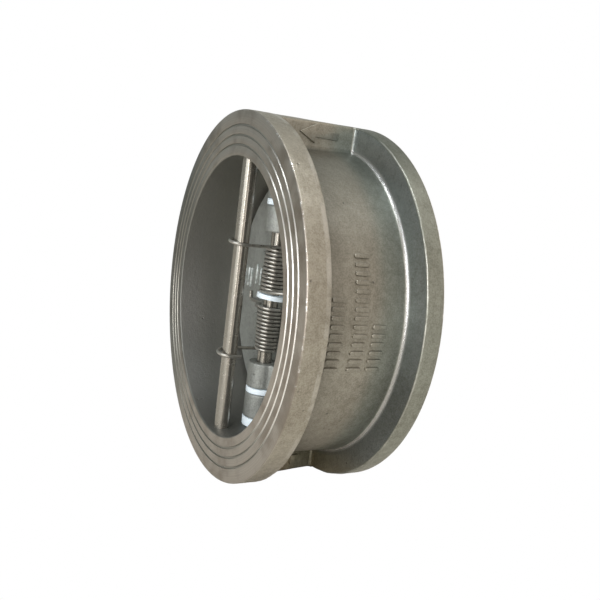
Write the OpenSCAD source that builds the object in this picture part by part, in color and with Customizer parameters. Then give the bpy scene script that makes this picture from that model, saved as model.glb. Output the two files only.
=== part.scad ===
// Dual-plate wafer check valve, nominal size 125.
// Two half-disc plates swing on one hinge pin and are closed by two torsion springs.
// The body is clamped between two pipe flanges.
//
// Frame: the flow axis is Y and the origin lies on it, midway between the two sealing faces.
// Flow runs towards -Y, so +Y is the inlet face and -Y is the outlet face.
// Both pins lie along Z. All sizes are in millimetres.

/* [Body] */
// Outside diameter, which sits inside the flange bolts
body_od = 192; // [188:1:196]
// Face-to-face length
body_len = 70; // [68:0.5:72]
// Diameter of the waist between the two rims
waist_d = 165; // [160:1:168]
// Thickness of the rim on the outlet side
outlet_rim = 11.8; // [10:0.2:13]
// Thickness of the rim on the inlet side
inlet_rim = 9.6; // [8:0.2:12]
// Radius of the fillets where the waist meets the rims
waist_fillet = 3.5; // [2:0.5:5]
// Bore on the outlet side, in which the plates swing
outlet_bore_d = 146; // [145:0.5:147]
// Bore on the inlet side, upstream of the seat
inlet_bore_d = 125; // [120:1:126]
// Distance of the seat face from the middle of the body
seat_y = 10.6; // [10.5:0.1:12]
// Radii of the gasket grooves on both faces
groove_radii = [78.5, 83.3, 88.3];
// Depth of the gasket grooves
groove_depth = 0.6; // [0.3:0.1:1]
// Half width of the pin bosses beside the inlet rim
boss_half_narrow = 12.5; // [11:0.5:15]
// Half width of the pin bosses at the outlet face
boss_half_wide = 22; // [18:0.5:24]

/* [Casting marks] */
// Position along the flow of the corner between the arrow's head and its shaft
arrow_y = -1.5; // [-5:0.5:3]
// Height of the flow arrow above the middle of the body
arrow_z = 88.6; // [88:0.1:89]
// Length of the arrow's head
arrow_head = 10; // [6:0.5:12]
// Length of the arrow's shaft
arrow_shaft = 15; // [10:0.5:16]
// Half width of the arrow's head
arrow_wing = 4.9; // [3:0.1:5]
// Half width of the arrow's shaft
arrow_neck = 1.9; // [1:0.1:2.5]
// How far the casting marks stand out from the boss
mark_height = 1; // [0.5:0.1:1.2]
// Middle of the square pad on the lower boss: along the flow, and below the middle of the body
pad_place = [11.5, 88];
// Side of the square pad
pad_side = 5; // [3:0.5:6]

/* [Seat] */
// Inner radius of the soft seat ring
seal_inner_r = 64; // [63.5:0.1:65]
// Outer radius of the soft seat ring
seal_outer_r = 68.5; // [67:0.1:69]
// Depth of the seat ring in the body
seal_depth = 2.5; // [2:0.1:3]
// Half width of the ring's cross bar, on the centre bar of the body
seal_bar_half = 5; // [4:0.2:6]
// How far the seat ring stands proud of the metal seat
seal_proud = 0.15; // [0.1:0.05:0.2]
// Half width of the body's centre bar
bar_half = 8; // [7:0.5:9]
// Depth of the centre bar along the flow
bar_depth = 19; // [15:1:22]

/* [Plates] */
// Radius of the half discs
plate_r = 70; // [69.5:0.1:70.2]
// Thickness of the half discs
plate_t = 7.8; // [7:0.1:8]
// Distance of the plates' outlet side from the middle of the body
plate_y = 2.5; // [2.3:0.1:2.6]
// Half of the gap between the two straight edges
plate_gap_half = 0.5; // [0.3:0.1:1]
// Radius of the hinge lugs
lug_r = 8.4; // [8:0.1:8.4]
// Where the outer lug starts and ends along the pin
lug_outer = [53.5, 67.3];
// Where the inner lug starts and ends along the pin, on the other side
lug_inner = [36.0, 50.0];
// How far the web of a lug reaches out over the plate
web_reach = 24; // [20:1:28]
// Distance of the stop bosses from the straight edge
stop_boss_x = 20.7; // [20:0.1:21.5]
// Distance of the stop bosses from the middle of the pin
stop_boss_z = 18; // [16:1:20]
// Radius of the stop bosses
stop_boss_r = 5; // [4:0.5:5.5]
// Height of the stop bosses, which meet the stop pin when the plates are open
stop_boss_h = 7.9; // [7:0.1:8]

/* [Pins] */
// Diameter of the hinge pin and the stop pin
pin_d = 8; // [7:0.5:9]
// Position of the hinge pin along the flow axis
hinge_y = -6.3; // [-6.5:0.1:-6.1]
// Position of the stop pin along the flow axis
stop_y = -27.3; // [-27.5:0.1:-27]
// Half length of both pins
pin_half_len = 85.5; // [82:0.5:86]
// Radial running clearance of lugs, washers and holes on the pins
pin_play = 0.05; // [0.02:0.01:0.1]
// Diameter of the threaded plugs that close the pin holes
plug_d = 10; // [9:0.5:10.5]
// Length of the plugs
plug_len = 8.6; // [7:0.1:9]
// How deep the plugs sit below the outside of the body
plug_recess = 1; // [0.5:0.1:2]

/* [Washers] */
// Radius of the plastic bushes at the ends of the hinge pin
bush_r = 8.6; // [8:0.1:8.6]
// Where the end bushes start and end along the pin
bush_span = [67.5, 72.2];
// Radius of the washers between two lugs
lug_washer_r = 8.3; // [7.5:0.1:8.4]
// Where the washers between two lugs start and end along the pin
lug_washer_span = [50.25, 53.25];
// Radius of the washer between the springs
mid_washer_r = 8.2; // [7.5:0.1:8.4]
// Where the washer between the springs starts and ends along the pin
mid_washer_span = [-0.7, 1.9];

/* [Springs] */
// Wire diameter
wire_d = 1.8; // [1.4:0.1:1.9]
// Centreline radius of the coil at the middle of the pin
coil_r_inner = 6.4; // [6:0.1:6.6]
// Centreline radius of the coil at its outer end
coil_r_outer = 5.3; // [5.1:0.1:5.6]
// Where the coil of the lower spring starts and ends along the pin, measured downwards
coil_span = [5, 29.8];
// Number of turns; a quarter turn is left out, between the two legs
coil_turns = 11.75; // [10.75:1:12.75]
// Reach of the leg that presses on the plate
leg_reach = 45; // [35:1:50]
// Drop of that leg along the pin
leg_drop = 5; // [3:0.5:7]
// How far the upper spring sits nearer to the middle than the lower one
upper_spring_shift = 1.6; // [0:0.1:1.8]

/* [Hidden] */
$fn = 96;

body_r = body_od / 2;
waist_r = waist_d / 2;
outlet_r = outlet_bore_d / 2;
inlet_r = inlet_bore_d / 2;
pin_r = pin_d / 2;
hole_r = pin_r + pin_play;
in_y = body_len / 2;
out_y = -body_len / 2;
outlet_flank_y = out_y + outlet_rim;
inlet_flank_y = in_y - inlet_rim;
flank_draft = 0.8;      // the inlet rim's flank leans by this much
rim_chamfer = 0.8;      // worn outer edge of both rims
bore_chamfer = 1;       // edge of both bores
groove_half_top = 0.7;  // half width of a groove at the face
groove_half_base = 0.3; // half width of a groove at its base
wall_root = 3;          // how far added pieces reach into the wall
mark_root = 0.5;        // how far casting marks reach into the wall
plug_top = body_r - plug_recess;
plug_fit = 0.02;        // thread play of the plugs
socket_af = 5;          // hexagon socket, across flats
socket_depth = 4;
cut = 1;                // how far cutters reach past a face
wire_sides = 6;
turn_steps = 14;        // path points in one turn of a coil
hook_steps = 9;
hook_r = pin_r + wire_d / 2 + 0.25;
hook_sweep = 180;       // degrees of wire around the stop pin
hook_out = 1;           // how far the hook's centre lies beyond the stop pin's
hook_drop = 2;          // how far the hook drifts along the stop pin
hook_tail = 6;          // straight end of the hook
leg_gap = 0.2;          // space between the leg's wire and the plate
// Bends of the leg, which take it round the stop pin when the plate is open
leg_bends = [[-17, -4.4], [-12.5, -8.8], [-7, -12]];

// Points of an arc about c, from angle a0 to a1.
function arc(c, r, a0, a1, steps = 5) =
    [for (i = [0:steps]) let (a = a0 + (a1 - a0) * i / steps) c + r * [cos(a), sin(a)]];

// Section of the grooves on one face, outermost first. dir points out of the face.
function grooves(y, dir) = [
    for (i = [len(groove_radii) - 1:-1:0])
        let (g = groove_radii[i], base = y - dir * groove_depth)
            each [[g + groove_half_top, y], [g + groove_half_base, base],
                  [g - groove_half_base, base], [g - groove_half_top, y]]
];

function reversed(list) = [for (i = [len(list) - 1:-1:0]) list[i]];

// Section of the turned body: radius against position along the flow.
body_section = concat(
    reversed(grooves(out_y, -1)),
    [[body_r - rim_chamfer, out_y], [body_r, out_y + rim_chamfer], [body_r, outlet_flank_y]],
    arc([waist_r + waist_fillet, outlet_flank_y + waist_fillet], waist_fillet, 270, 180),
    arc([waist_r + waist_fillet, inlet_flank_y - flank_draft - waist_fillet], waist_fillet, 180, 90),
    [[body_r, inlet_flank_y], [body_r, in_y - rim_chamfer], [body_r - rim_chamfer, in_y]],
    grooves(in_y, 1),
    [[inlet_r + bore_chamfer, in_y], [inlet_r, in_y - bore_chamfer], [inlet_r, seat_y],
     [outlet_r, seat_y], [outlet_r, out_y + bore_chamfer], [outlet_r + bore_chamfer, out_y]]
);

// Turns a solid made along Z so that it lies along the flow, +Z towards +Y.
module along_flow() {
    rotate([-90, 0, 0]) children();
}

module ring(r_out, r_in, y0, y1) {
    translate([0, y0, 0]) along_flow() difference() {
        cylinder(r = r_out, h = y1 - y0);
        translate([0, 0, -cut]) cylinder(r = r_in, h = y1 - y0 + 2 * cut);
    }
}

// Bosses above and below the waist that carry the ends of both pins.
module pin_bosses() {
    intersection() {
        linear_extrude(height = 2 * body_r + 2 * cut, center = true)
            polygon([
                [-boss_half_wide, outlet_flank_y - wall_root],
                [boss_half_wide, outlet_flank_y - wall_root],
                [boss_half_narrow, inlet_flank_y + wall_root],
                [-boss_half_narrow, inlet_flank_y + wall_root]
            ]);
        ring(body_r, waist_r - wall_root, outlet_flank_y - wall_root, inlet_flank_y + wall_root);
    }
}

// Puts a flat mark on the +X wall of a boss: its X along the flow, its Y along Z, standing out of the wall.
module on_boss_wall(y, z) {
    wall_start = outlet_flank_y - wall_root;
    wall_len = inlet_flank_y + wall_root - wall_start;
    lean = (boss_half_wide - boss_half_narrow) / wall_len;
    translate([boss_half_wide - lean * (y - wall_start), y, z]) rotate([0, 0, atan(lean)])
        translate([-mark_root, 0, 0]) rotate([90, 0, 90])
            linear_extrude(height = mark_root + mark_height) children();
}

// Raised arrow on the upper boss. It points at the outlet.
module flow_arrow() {
    on_boss_wall(arrow_y, arrow_z) polygon([
        [-arrow_head, 0], [0, -arrow_wing], [0, -arrow_neck], [arrow_shaft, -arrow_neck],
        [arrow_shaft, arrow_neck], [0, arrow_neck], [0, arrow_wing]
    ]);
}

// Raised square on the lower boss.
module boss_pad() {
    on_boss_wall(pad_place[0], -pad_place[1]) square(pad_side, center = true);
}

// Bar across the inlet bore that carries the plates' straight edges.
module centre_bar() {
    intersection() {
        linear_extrude(height = 2 * outlet_r, center = true)
            polygon([
                [-bar_half, seat_y], [bar_half, seat_y], [bar_half, seat_y + 6],
                [bar_half / 2.5, seat_y + bar_depth], [-bar_half / 2.5, seat_y + bar_depth],
                [-bar_half, seat_y + 6]
            ]);
        translate([0, seat_y, 0]) along_flow() cylinder(r = inlet_r + wall_root, h = bar_depth);
    }
}

// The soft seat: a ring with a bar across it. y0 is its outlet side.
module seal_shape(y0) {
    depth = seat_y + seal_depth - y0;
    ring(seal_outer_r, seal_inner_r, y0, seat_y + seal_depth);
    translate([-seal_bar_half, y0, -seal_inner_r - 1])
        cube([2 * seal_bar_half, depth, 2 * seal_inner_r + 2]);
}

// Cutter for one pin hole through both walls, with a wider plug hole at each end.
module pin_hole(y) {
    translate([0, y, -body_r - cut]) cylinder(r = hole_r, h = 2 * body_r + 2 * cut);
    for (side = [0, 180])
        rotate([0, side, 0])
            translate([0, y, plug_top - plug_len])
                cylinder(r = plug_d / 2, h = plug_len + plug_recess + cut);
}

module valve_body() {
    color("#8a877d") difference() {
        union() {
            along_flow() rotate_extrude() polygon(body_section);
            pin_bosses();
            flow_arrow();
            boss_pad();
            centre_bar();
        }
        seal_shape(seat_y - cut);
        pin_hole(hinge_y);
        pin_hole(stop_y);
    }
}

module seat_seal() {
    color("#2b2b2b") seal_shape(seat_y - seal_proud);
}

module lug(z0, z1) {
    translate([0, hinge_y, z0]) cylinder(r = lug_r, h = z1 - z0);
    translate([0, 0, z0]) linear_extrude(height = z1 - z0)
        polygon([
            [plate_gap_half, hinge_y], [lug_r - 0.1, hinge_y - 0.5], [lug_r + 4, plate_y - 5],
            [web_reach, plate_y + 1], [plate_gap_half, plate_y + 1]
        ]);
}

// One plate with its lugs, as the right-hand one: +X side, inner lug below the middle.
module plate() {
    difference() {
        union() {
            intersection() {
                translate([0, plate_y, 0]) along_flow() cylinder(r = plate_r, h = plate_t);
                translate([plate_gap_half, plate_y - cut, -plate_r])
                    cube([plate_r, plate_t + 2 * cut, 2 * plate_r]);
            }
            lug(lug_outer[0], lug_outer[1]);
            lug(-lug_inner[1], -lug_inner[0]);
            for (z = [-stop_boss_z, stop_boss_z])
                translate([stop_boss_x, plate_y - stop_boss_h, z]) along_flow()
                    cylinder(r = stop_boss_r, h = stop_boss_h + 1);
        }
        translate([0, hinge_y, -plate_r]) cylinder(r = hole_r, h = 2 * plate_r);
    }
}

module right_plate() {
    color("#6f706b") plate();
}

module left_plate() {
    color("#6f706b") rotate([0, 180, 0]) plate();
}

module pin(y) {
    color("#c9c6bd") translate([0, y, -pin_half_len]) cylinder(r = pin_r, h = 2 * pin_half_len);
}

module hinge_pin() {
    pin(hinge_y);
}

module stop_pin() {
    pin(stop_y);
}

module washer(r, span) {
    color("#e9edf2") translate([0, hinge_y, span[0]]) difference() {
        cylinder(r = r, h = span[1] - span[0]);
        translate([0, 0, -cut]) cylinder(r = hole_r, h = span[1] - span[0] + 2 * cut);
    }
}

module top_end_bush() {
    washer(bush_r, bush_span);
}

module bottom_end_bush() {
    washer(bush_r, [-bush_span[1], -bush_span[0]]);
}

module upper_lug_washer() {
    washer(lug_washer_r, lug_washer_span);
}

module lower_lug_washer() {
    washer(lug_washer_r, [-lug_washer_span[1], -lug_washer_span[0]]);
}

module spring_washer() {
    washer(mid_washer_r, mid_washer_span);
}

// Path of the lower spring: leg on the plate, coil going down, leg to the stop pin, its hook and tail.
coil_total = 360 * coil_turns;
coil_steps = round(turn_steps * coil_turns);
leg_y = plate_y - leg_gap - wire_d / 2;
leg_path = concat(
    [[-leg_reach, leg_y, -coil_span[0] - leg_drop]],
    [for (p = leg_bends) [p[0], p[1], -coil_span[0] + leg_drop * p[0] / leg_reach]]
);
coil_path = [
    for (i = [0:coil_steps])
        let (
            s = i / coil_steps,
            a = 270 + coil_total * s,
            r = coil_r_inner + (coil_r_outer - coil_r_inner) * s,
            z = -coil_span[0] - (coil_span[1] - coil_span[0]) * s
        )
            [r * cos(a), hinge_y + r * sin(a), z]
];
hook_path = [
    for (i = [0:hook_steps])
        let (a = 180 + hook_sweep * i / hook_steps)
            [hook_r * cos(a), stop_y - hook_out + hook_r * sin(a), -coil_span[1] - hook_drop * i / hook_steps]
];
tail_path = [[hook_r, stop_y - hook_out + hook_tail, -coil_span[1] - hook_drop]];
spring_path = concat(leg_path, coil_path, hook_path, tail_path);

function unit(v) = v / norm(v);

// Direction of the path at point i.
function heading(path, i) =
    let (last = len(path) - 1) unit(path[min(i + 1, last)] - path[max(i - 1, 0)]);

// One ring of points round the path at point i. The path is never parallel to Z.
function wire_ring(path, i) =
    let (t = heading(path, i), side = unit(cross([0, 0, 1], t)), up = cross(t, side))
        [for (k = [0:wire_sides - 1])
            let (a = 360 * k / wire_sides) path[i] + wire_d / 2 * (cos(a) * side + sin(a) * up)];

// Wire swept along a path of points, with flat ends.
module wire(path) {
    n = len(path);
    points = [for (i = [0:n - 1]) each wire_ring(path, i)];
    walls = [
        for (i = [0:n - 2], k = [0:wire_sides - 1])
            let (a = i * wire_sides + k, b = i * wire_sides + (k + 1) % wire_sides)
                [a, a + wire_sides, b + wire_sides, b]
    ];
    first_cap = [for (k = [0:wire_sides - 1]) k];
    last_cap = [for (k = [wire_sides - 1:-1:0]) (n - 1) * wire_sides + k];
    polyhedron(points, concat(walls, [first_cap, last_cap]), convexity = 10);
}

module lower_spring() {
    color("#b9b7ae") wire(spring_path);
}

module upper_spring() {
    color("#b9b7ae") translate([0, 0, -upper_spring_shift]) rotate([0, 180, 0]) wire(spring_path);
}

// Threaded plug with a hexagon socket, at the top end of a pin hole.
module plug(y) {
    color("#75756f") translate([0, y, plug_top - plug_len]) difference() {
        cylinder(r = plug_d / 2 - plug_fit, h = plug_len);
        translate([0, 0, plug_len - socket_depth])
            cylinder(d = socket_af / cos(30), h = socket_depth + cut, $fn = 6);
    }
}

module top_hinge_plug() {
    plug(hinge_y);
}

module bottom_hinge_plug() {
    rotate([0, 180, 0]) plug(hinge_y);
}

module top_stop_plug() {
    plug(stop_y);
}

module bottom_stop_plug() {
    rotate([0, 180, 0]) plug(stop_y);
}

valve_body();
seat_seal();
left_plate();
right_plate();
hinge_pin();
stop_pin();
upper_spring();
lower_spring();
top_end_bush();
upper_lug_washer();
spring_washer();
lower_lug_washer();
bottom_end_bush();
top_hinge_plug();
bottom_hinge_plug();
top_stop_plug();
bottom_stop_plug();
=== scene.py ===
"""Looks of the dual-plate wafer check valve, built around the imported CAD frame.

Frame: metres, flow axis along Y with the outlet face at -Y, both pins along Z, origin on the flow axis.
"""

import math

import bmesh
import bpy
from mathutils import Matrix, Vector, noise


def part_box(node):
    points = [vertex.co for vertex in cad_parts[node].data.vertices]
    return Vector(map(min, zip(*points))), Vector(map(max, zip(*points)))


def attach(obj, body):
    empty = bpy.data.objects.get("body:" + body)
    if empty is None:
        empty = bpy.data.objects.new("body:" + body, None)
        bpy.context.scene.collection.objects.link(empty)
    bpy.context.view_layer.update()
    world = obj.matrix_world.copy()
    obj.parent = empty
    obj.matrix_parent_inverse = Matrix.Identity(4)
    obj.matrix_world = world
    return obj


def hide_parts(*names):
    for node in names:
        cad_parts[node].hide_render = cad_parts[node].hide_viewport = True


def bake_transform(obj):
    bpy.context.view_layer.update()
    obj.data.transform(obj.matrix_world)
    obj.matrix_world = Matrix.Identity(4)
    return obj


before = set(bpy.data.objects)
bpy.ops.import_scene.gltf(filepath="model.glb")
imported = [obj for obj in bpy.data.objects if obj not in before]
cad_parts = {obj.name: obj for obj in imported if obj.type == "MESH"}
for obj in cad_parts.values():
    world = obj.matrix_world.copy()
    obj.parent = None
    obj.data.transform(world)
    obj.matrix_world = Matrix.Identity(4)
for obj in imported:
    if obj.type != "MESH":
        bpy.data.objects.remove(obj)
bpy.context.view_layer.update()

MM = 0.001
TAU = 2 * math.pi

# Sizes that the frame gives.
BODY_LOW, BODY_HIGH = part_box("valve_body")
PIN_LOW, PIN_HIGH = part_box("hinge_pin")
STOP_LOW, STOP_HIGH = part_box("stop_pin")
RIM_R = BODY_HIGH.z
OUT_Y = BODY_LOW.y
IN_Y = BODY_HIGH.y
PIN_R = (PIN_HIGH.x - PIN_LOW.x) / 2
HINGE_Y = (PIN_LOW.y + PIN_HIGH.y) / 2
STOP_Y = (STOP_LOW.y + STOP_HIGH.y) / 2

# Sizes of the casting that part.scad also states.
WAIST_R = 82.5 * MM
OUTLET_FLANK_Y = OUT_Y + 11.8 * MM
INLET_FLANK_Y = IN_Y - 9.6 * MM
FLANK_DRAFT = 0.8 * MM
LIP_Y = (INLET_FLANK_Y - OUTLET_FLANK_Y) / 2
WAIST_FILLET = 2.4 * MM
OUTLET_R = 73 * MM
INLET_R = 62.5 * MM
SEAT_Y = 10.6 * MM
GROOVE_RADII = [78.5 * MM, 83.3 * MM, 88.3 * MM]
GROOVE_DEPTH = 0.6 * MM
BOSS_NARROW = 12.5 * MM
BOSS_WIDE = 22 * MM
BOSS_FLARE = 2.0 * MM
BAR_HALF = 8 * MM
BAR_DEPTH = 19 * MM
PLUG_R = 5 * MM
PLUG_HOLE = (80 * MM, 99 * MM)
CAST_UNEVEN = 0.3 * MM
PLATE_T = 7.8 * MM
HOLE_PLAY = 0.1 * MM

# Sizes of the lower spring. The upper one is the same, turned over and set SHIFT_UP from its mirrored place.
WIRE_R = 0.9 * MM
COIL_R_INNER = 6.4 * MM
COIL_R_OUTER = 5.3 * MM
COIL_START = -5 * MM
COIL_END = -29.8 * MM
COIL_TURNS = 11.75
LEG_REACH = 45 * MM
LEG_DROP = 5 * MM
LEG_BENDS = [(-7 * MM, -12 * MM), (-12.5 * MM, -8.8 * MM), (-17 * MM, -4.4 * MM)]
HOOK_R = PIN_R + WIRE_R + 0.25 * MM
HOOK_Y = STOP_Y - 1.0 * MM
HOOK_DROP = 2.0 * MM
HOOK_TAIL = 6 * MM
SHIFT_UP = 1.6 * MM
LEG_GAP = 0.2 * MM
LEG_BEND_REACH = 3 * MM
LEG_TIP_TURN = 1.8 * MM
LEG_TIP_LENGTH = 3 * MM

# Raised marks: where they are, and rows of (y, first and last angle from +Z in degrees, number of bars).
MARK_HEIGHT = 1.0 * MM
MARK_EDGE = 0.3 * MM
MARK_ROOT = 0.6 * MM
ARROW_HEAD, ARROW_SHAFT = 10 * MM, 15 * MM
ARROW_WING, ARROW_NECK = 4.9 * MM, 1.9 * MM
ARROW_PLACE = (-1.5 * MM, 88.6 * MM)
PAD_HALF = 2.5 * MM
PAD_PLACE = (11.5 * MM, -88 * MM)
WAIST_BAR = (7.6 * MM, 2.1 * MM)
WAIST_ROWS = [(-12 * MM, 79, 101, 9), (0, 65, 101, 14), (10 * MM, 87, 101, 6)]
PLATE_BAR = (12 * MM, 1.6 * MM)
PLATE_BAR_PLACES = [(-37, 6), (-43, 6), (-51, 2.5), (-55, 2.5), (-60, 2.5)]

# Tones of the metals, plastic and rubber. The fillet, groove, flank lip and plate mark tones are painted
# highlights, the bore tones painted shade, and the plastic's glow painted light.
CAST_LIGHT, CAST_DARK = (0.50, 0.465, 0.395), (0.24, 0.215, 0.17)
STAIN, PIT = (0.13, 0.115, 0.09), (0.045, 0.04, 0.035)
FILLET_HIGHLIGHT = (0.74, 0.71, 0.71)
TURNED_LIGHT, TURNED_DARK, TURNED_STAIN = (0.43, 0.39, 0.345), (0.31, 0.275, 0.24), (0.24, 0.205, 0.17)
BORE_SHADE_HIGH, BORE_SHADE_LOW = (0.25, 0.245, 0.22), (0.18, 0.18, 0.168)
GROOVE_HIGHLIGHT, GROOVE_DULL = (0.9, 0.88, 0.85), (0.26, 0.25, 0.22)
WORN_EDGE, FLANK_LIP_HIGHLIGHT = (0.7, 0.68, 0.65), (0.66, 0.64, 0.6)
PLATE_LIGHT, PLATE_DARK = (0.39, 0.4, 0.38), (0.18, 0.185, 0.17)
PLATE_MARK_SHEEN_LIGHT, PLATE_MARK_SHEEN_DARK = (0.86, 0.9, 0.9), (0.4, 0.44, 0.43)
PIN_LIGHT, PIN_DARK, PIN_SCUFF = (0.35, 0.327, 0.29), (0.32, 0.3, 0.263), (0.25, 0.225, 0.19)
WIRE_LIGHT, WIRE_DARK = (0.44, 0.42, 0.385), (0.34, 0.325, 0.295)
PTFE_LIGHT, PTFE_DARK, PTFE_PAINTED_GLOW = (0.9, 0.95, 1.0), (0.8, 0.88, 0.95), (0.7, 0.9, 1.0, 1)
RUBBER_BLOOM, RUBBER_DARK = (0.045, 0.045, 0.043), (0.018, 0.018, 0.018)
PLUG_LIGHT, PLUG_STAIN = (0.34, 0.33, 0.31), (0.2, 0.19, 0.17)

# Tints, each multiplied into the casting's tone in one part of it. All but the inlet tint are painted light
# and shade: painted shade on the waist, the flanks, the top of the inlet rim and the left of the sealing
# faces, and painted light low on the flanks and boss walls.
INLET_TINT = (0.79, 0.88, 0.91)
WAIST_SHADE_TINT = (0.86, 0.88, 0.9)
FLANK_SHADE_TINT, LOW_FLANK_LIGHT_TINT = (0.75, 0.78, 0.88), (0.96, 0.9, 0.84)
OUTLET_WAIST_SHADE_TINT = (0.6, 0.6, 0.6)
HIGH_WAIST_SHADE_TINT = (0.7, 0.72, 0.72)
TOP_RIM_SHADE_TINT = (0.5, 0.52, 0.5)
LOW_BOSS_LIGHT_TINT = (1.3, 1.22, 1.1)
LEFT_FACE_SHADE_TINT = (0.35, 0.4, 0.42)

# The studio: tones of the room and floor, and lights as (name, place, size, energy, colour).
ROOM_COOL = (0.33, 0.37, 0.36, 1)
ROOM_WARM = (0.72, 0.66, 0.585, 1)
WARM_SIDE = (0.75, 0.66, -0.1)
FLOOR_TONE = (0.66, 0.63, 0.58)
FLOOR_HALF = 6.0
LIGHTS = [
    ("window", (0.88, -0.2, 0.3), (0.14, 0.8), 1.15, (1.0, 0.95, 0.93)),
    ("lamp", (0.575, -0.556, 0.17), (0.07, 0.5), 1.3, (1.0, 0.98, 0.97)),
    ("overhead", (0.15, -0.12, 1.0), (0.9, 0.16), 4.5, (0.94, 0.98, 1.0)),
    ("back", (-0.3, 0.95, 0.05), (0.8, 0.8), 2.5, (1.0, 0.98, 0.95)),
    ("front", (0.42, -0.9, 0.35), (0.8, 0.8), 6.5, (0.95, 0.98, 1.0)),
]

# The camera: azimuth 64 degrees, elevation 9.9 degrees, 0.379 m from the origin.
CAMERA_PLACE = (335.55 * MM, -163.82 * MM, 65.11 * MM)
CAMERA_FORWARD = (-0.87356, 0.45564, -0.17116)
CAMERA_UP = (-0.20914, -0.03384, 0.97730)
CAMERA_LENS = 41.39


# ---------------------------------------------------------------- mesh helpers

def mesh_object(name, vertices, faces, smooth_angle=35):
    """A mesh object with consistent outward normals, smooth except at edges sharper than smooth_angle."""
    mesh = bpy.data.meshes.new(name)
    mesh.from_pydata([tuple(v) for v in vertices], [], faces)
    bm = bmesh.new()
    bm.from_mesh(mesh)
    bmesh.ops.remove_doubles(bm, verts=bm.verts, dist=1e-6)
    bmesh.ops.recalc_face_normals(bm, faces=bm.faces)
    bm.to_mesh(mesh)
    bm.free()
    shade(mesh, smooth_angle)
    obj = bpy.data.objects.new(name, mesh)
    bpy.context.scene.collection.objects.link(obj)
    return obj


def shade(mesh, smooth_angle):
    """Smooth shading, broken at edges sharper than smooth_angle degrees."""
    mesh.polygons.foreach_set("use_smooth", [True] * len(mesh.polygons))
    mesh.set_sharp_from_angle(angle=math.radians(smooth_angle))


def skin(rings, looped=False, capped=False):
    """Vertices and faces between rings of equal length, each a list of points in order round the shape.

    The last ring meets the first one if looped. Flat faces close both ends if capped.
    """
    count = len(rings[0])
    vertices = [p for ring in rings for p in ring]
    faces = []
    for i in range(len(rings) if looped else len(rings) - 1):
        j = (i + 1) % len(rings)
        for k in range(count):
            m = (k + 1) % count
            faces.append((i * count + k, i * count + m, j * count + m, j * count + k))
    if capped:
        faces.append(tuple(range(count)))
        faces.append(tuple(range((len(rings) - 1) * count, len(rings) * count)))
    return vertices, faces


def lathe(name, section, centre=(0, 0, 0), axis="Y", steps=360):
    """A closed section of (radius, position along the axis) turned round Y or Z."""
    rings = []
    for i in range(steps):
        a = TAU * i / steps
        c, s = math.cos(a), math.sin(a)
        if axis == "Y":
            ring = [Vector((r * s, p, r * c)) for r, p in section]
        else:
            ring = [Vector((r * c, r * s, p)) for r, p in section]
        rings.append([v + Vector(centre) for v in ring])
    vertices, faces = skin(rings, looped=True)
    return mesh_object(name, vertices, faces)


def arc(centre, radius, a0, a1, steps):
    """Points of an arc from angle a0 to a1, in degrees."""
    points = []
    for i in range(steps + 1):
        a = math.radians(a0 + (a1 - a0) * i / steps)
        points.append((centre[0] + radius * math.cos(a), centre[1] + radius * math.sin(a)))
    return points


def tube(name, path, radius, sides=16):
    """Round wire along a path of points, with domed ends."""
    rings = []
    up = Vector((0, 0, 1))
    side = Vector((1, 0, 0))
    last = len(path) - 1
    for i, p in enumerate(path):
        t = (path[min(i + 1, last)] - path[max(i - 1, 0)]).normalized()
        across = up.cross(t)
        if across.length >= 0.2:
            side = across.normalized()
        over = t.cross(side)
        rings.append([p + radius * (math.cos(TAU * k / sides) * side + math.sin(TAU * k / sides) * over)
                      for k in range(sides)])
    vertices, faces = skin(rings)
    for ring_index, outward in ((0, -1), (last, 1)):
        end = path[ring_index]
        inner = path[ring_index - outward]
        tip = len(vertices)
        vertices.append(end + (end - inner).normalized() * radius * 0.5)
        base = ring_index * sides
        faces += [(base + k, base + (k + 1) % sides, tip) for k in range(sides)]
    return mesh_object(name, vertices, faces, 60)


def apply_modifiers(obj):
    """Bakes the modifiers of obj into its mesh."""
    bpy.context.view_layer.update()
    graph = bpy.context.evaluated_depsgraph_get()
    mesh = bpy.data.meshes.new_from_object(obj.evaluated_get(graph))
    obj.modifiers.clear()
    obj.data = mesh


def boolean(obj, other, operation):
    """Joins other to obj, or cuts it out of obj, and removes other."""
    modifier = obj.modifiers.new(operation, "BOOLEAN")
    modifier.operation = operation
    modifier.solver = "MANIFOLD"
    modifier.object = other
    apply_modifiers(obj)
    bpy.data.objects.remove(other)


# ---------------------------------------------------------------- material helpers

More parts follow.
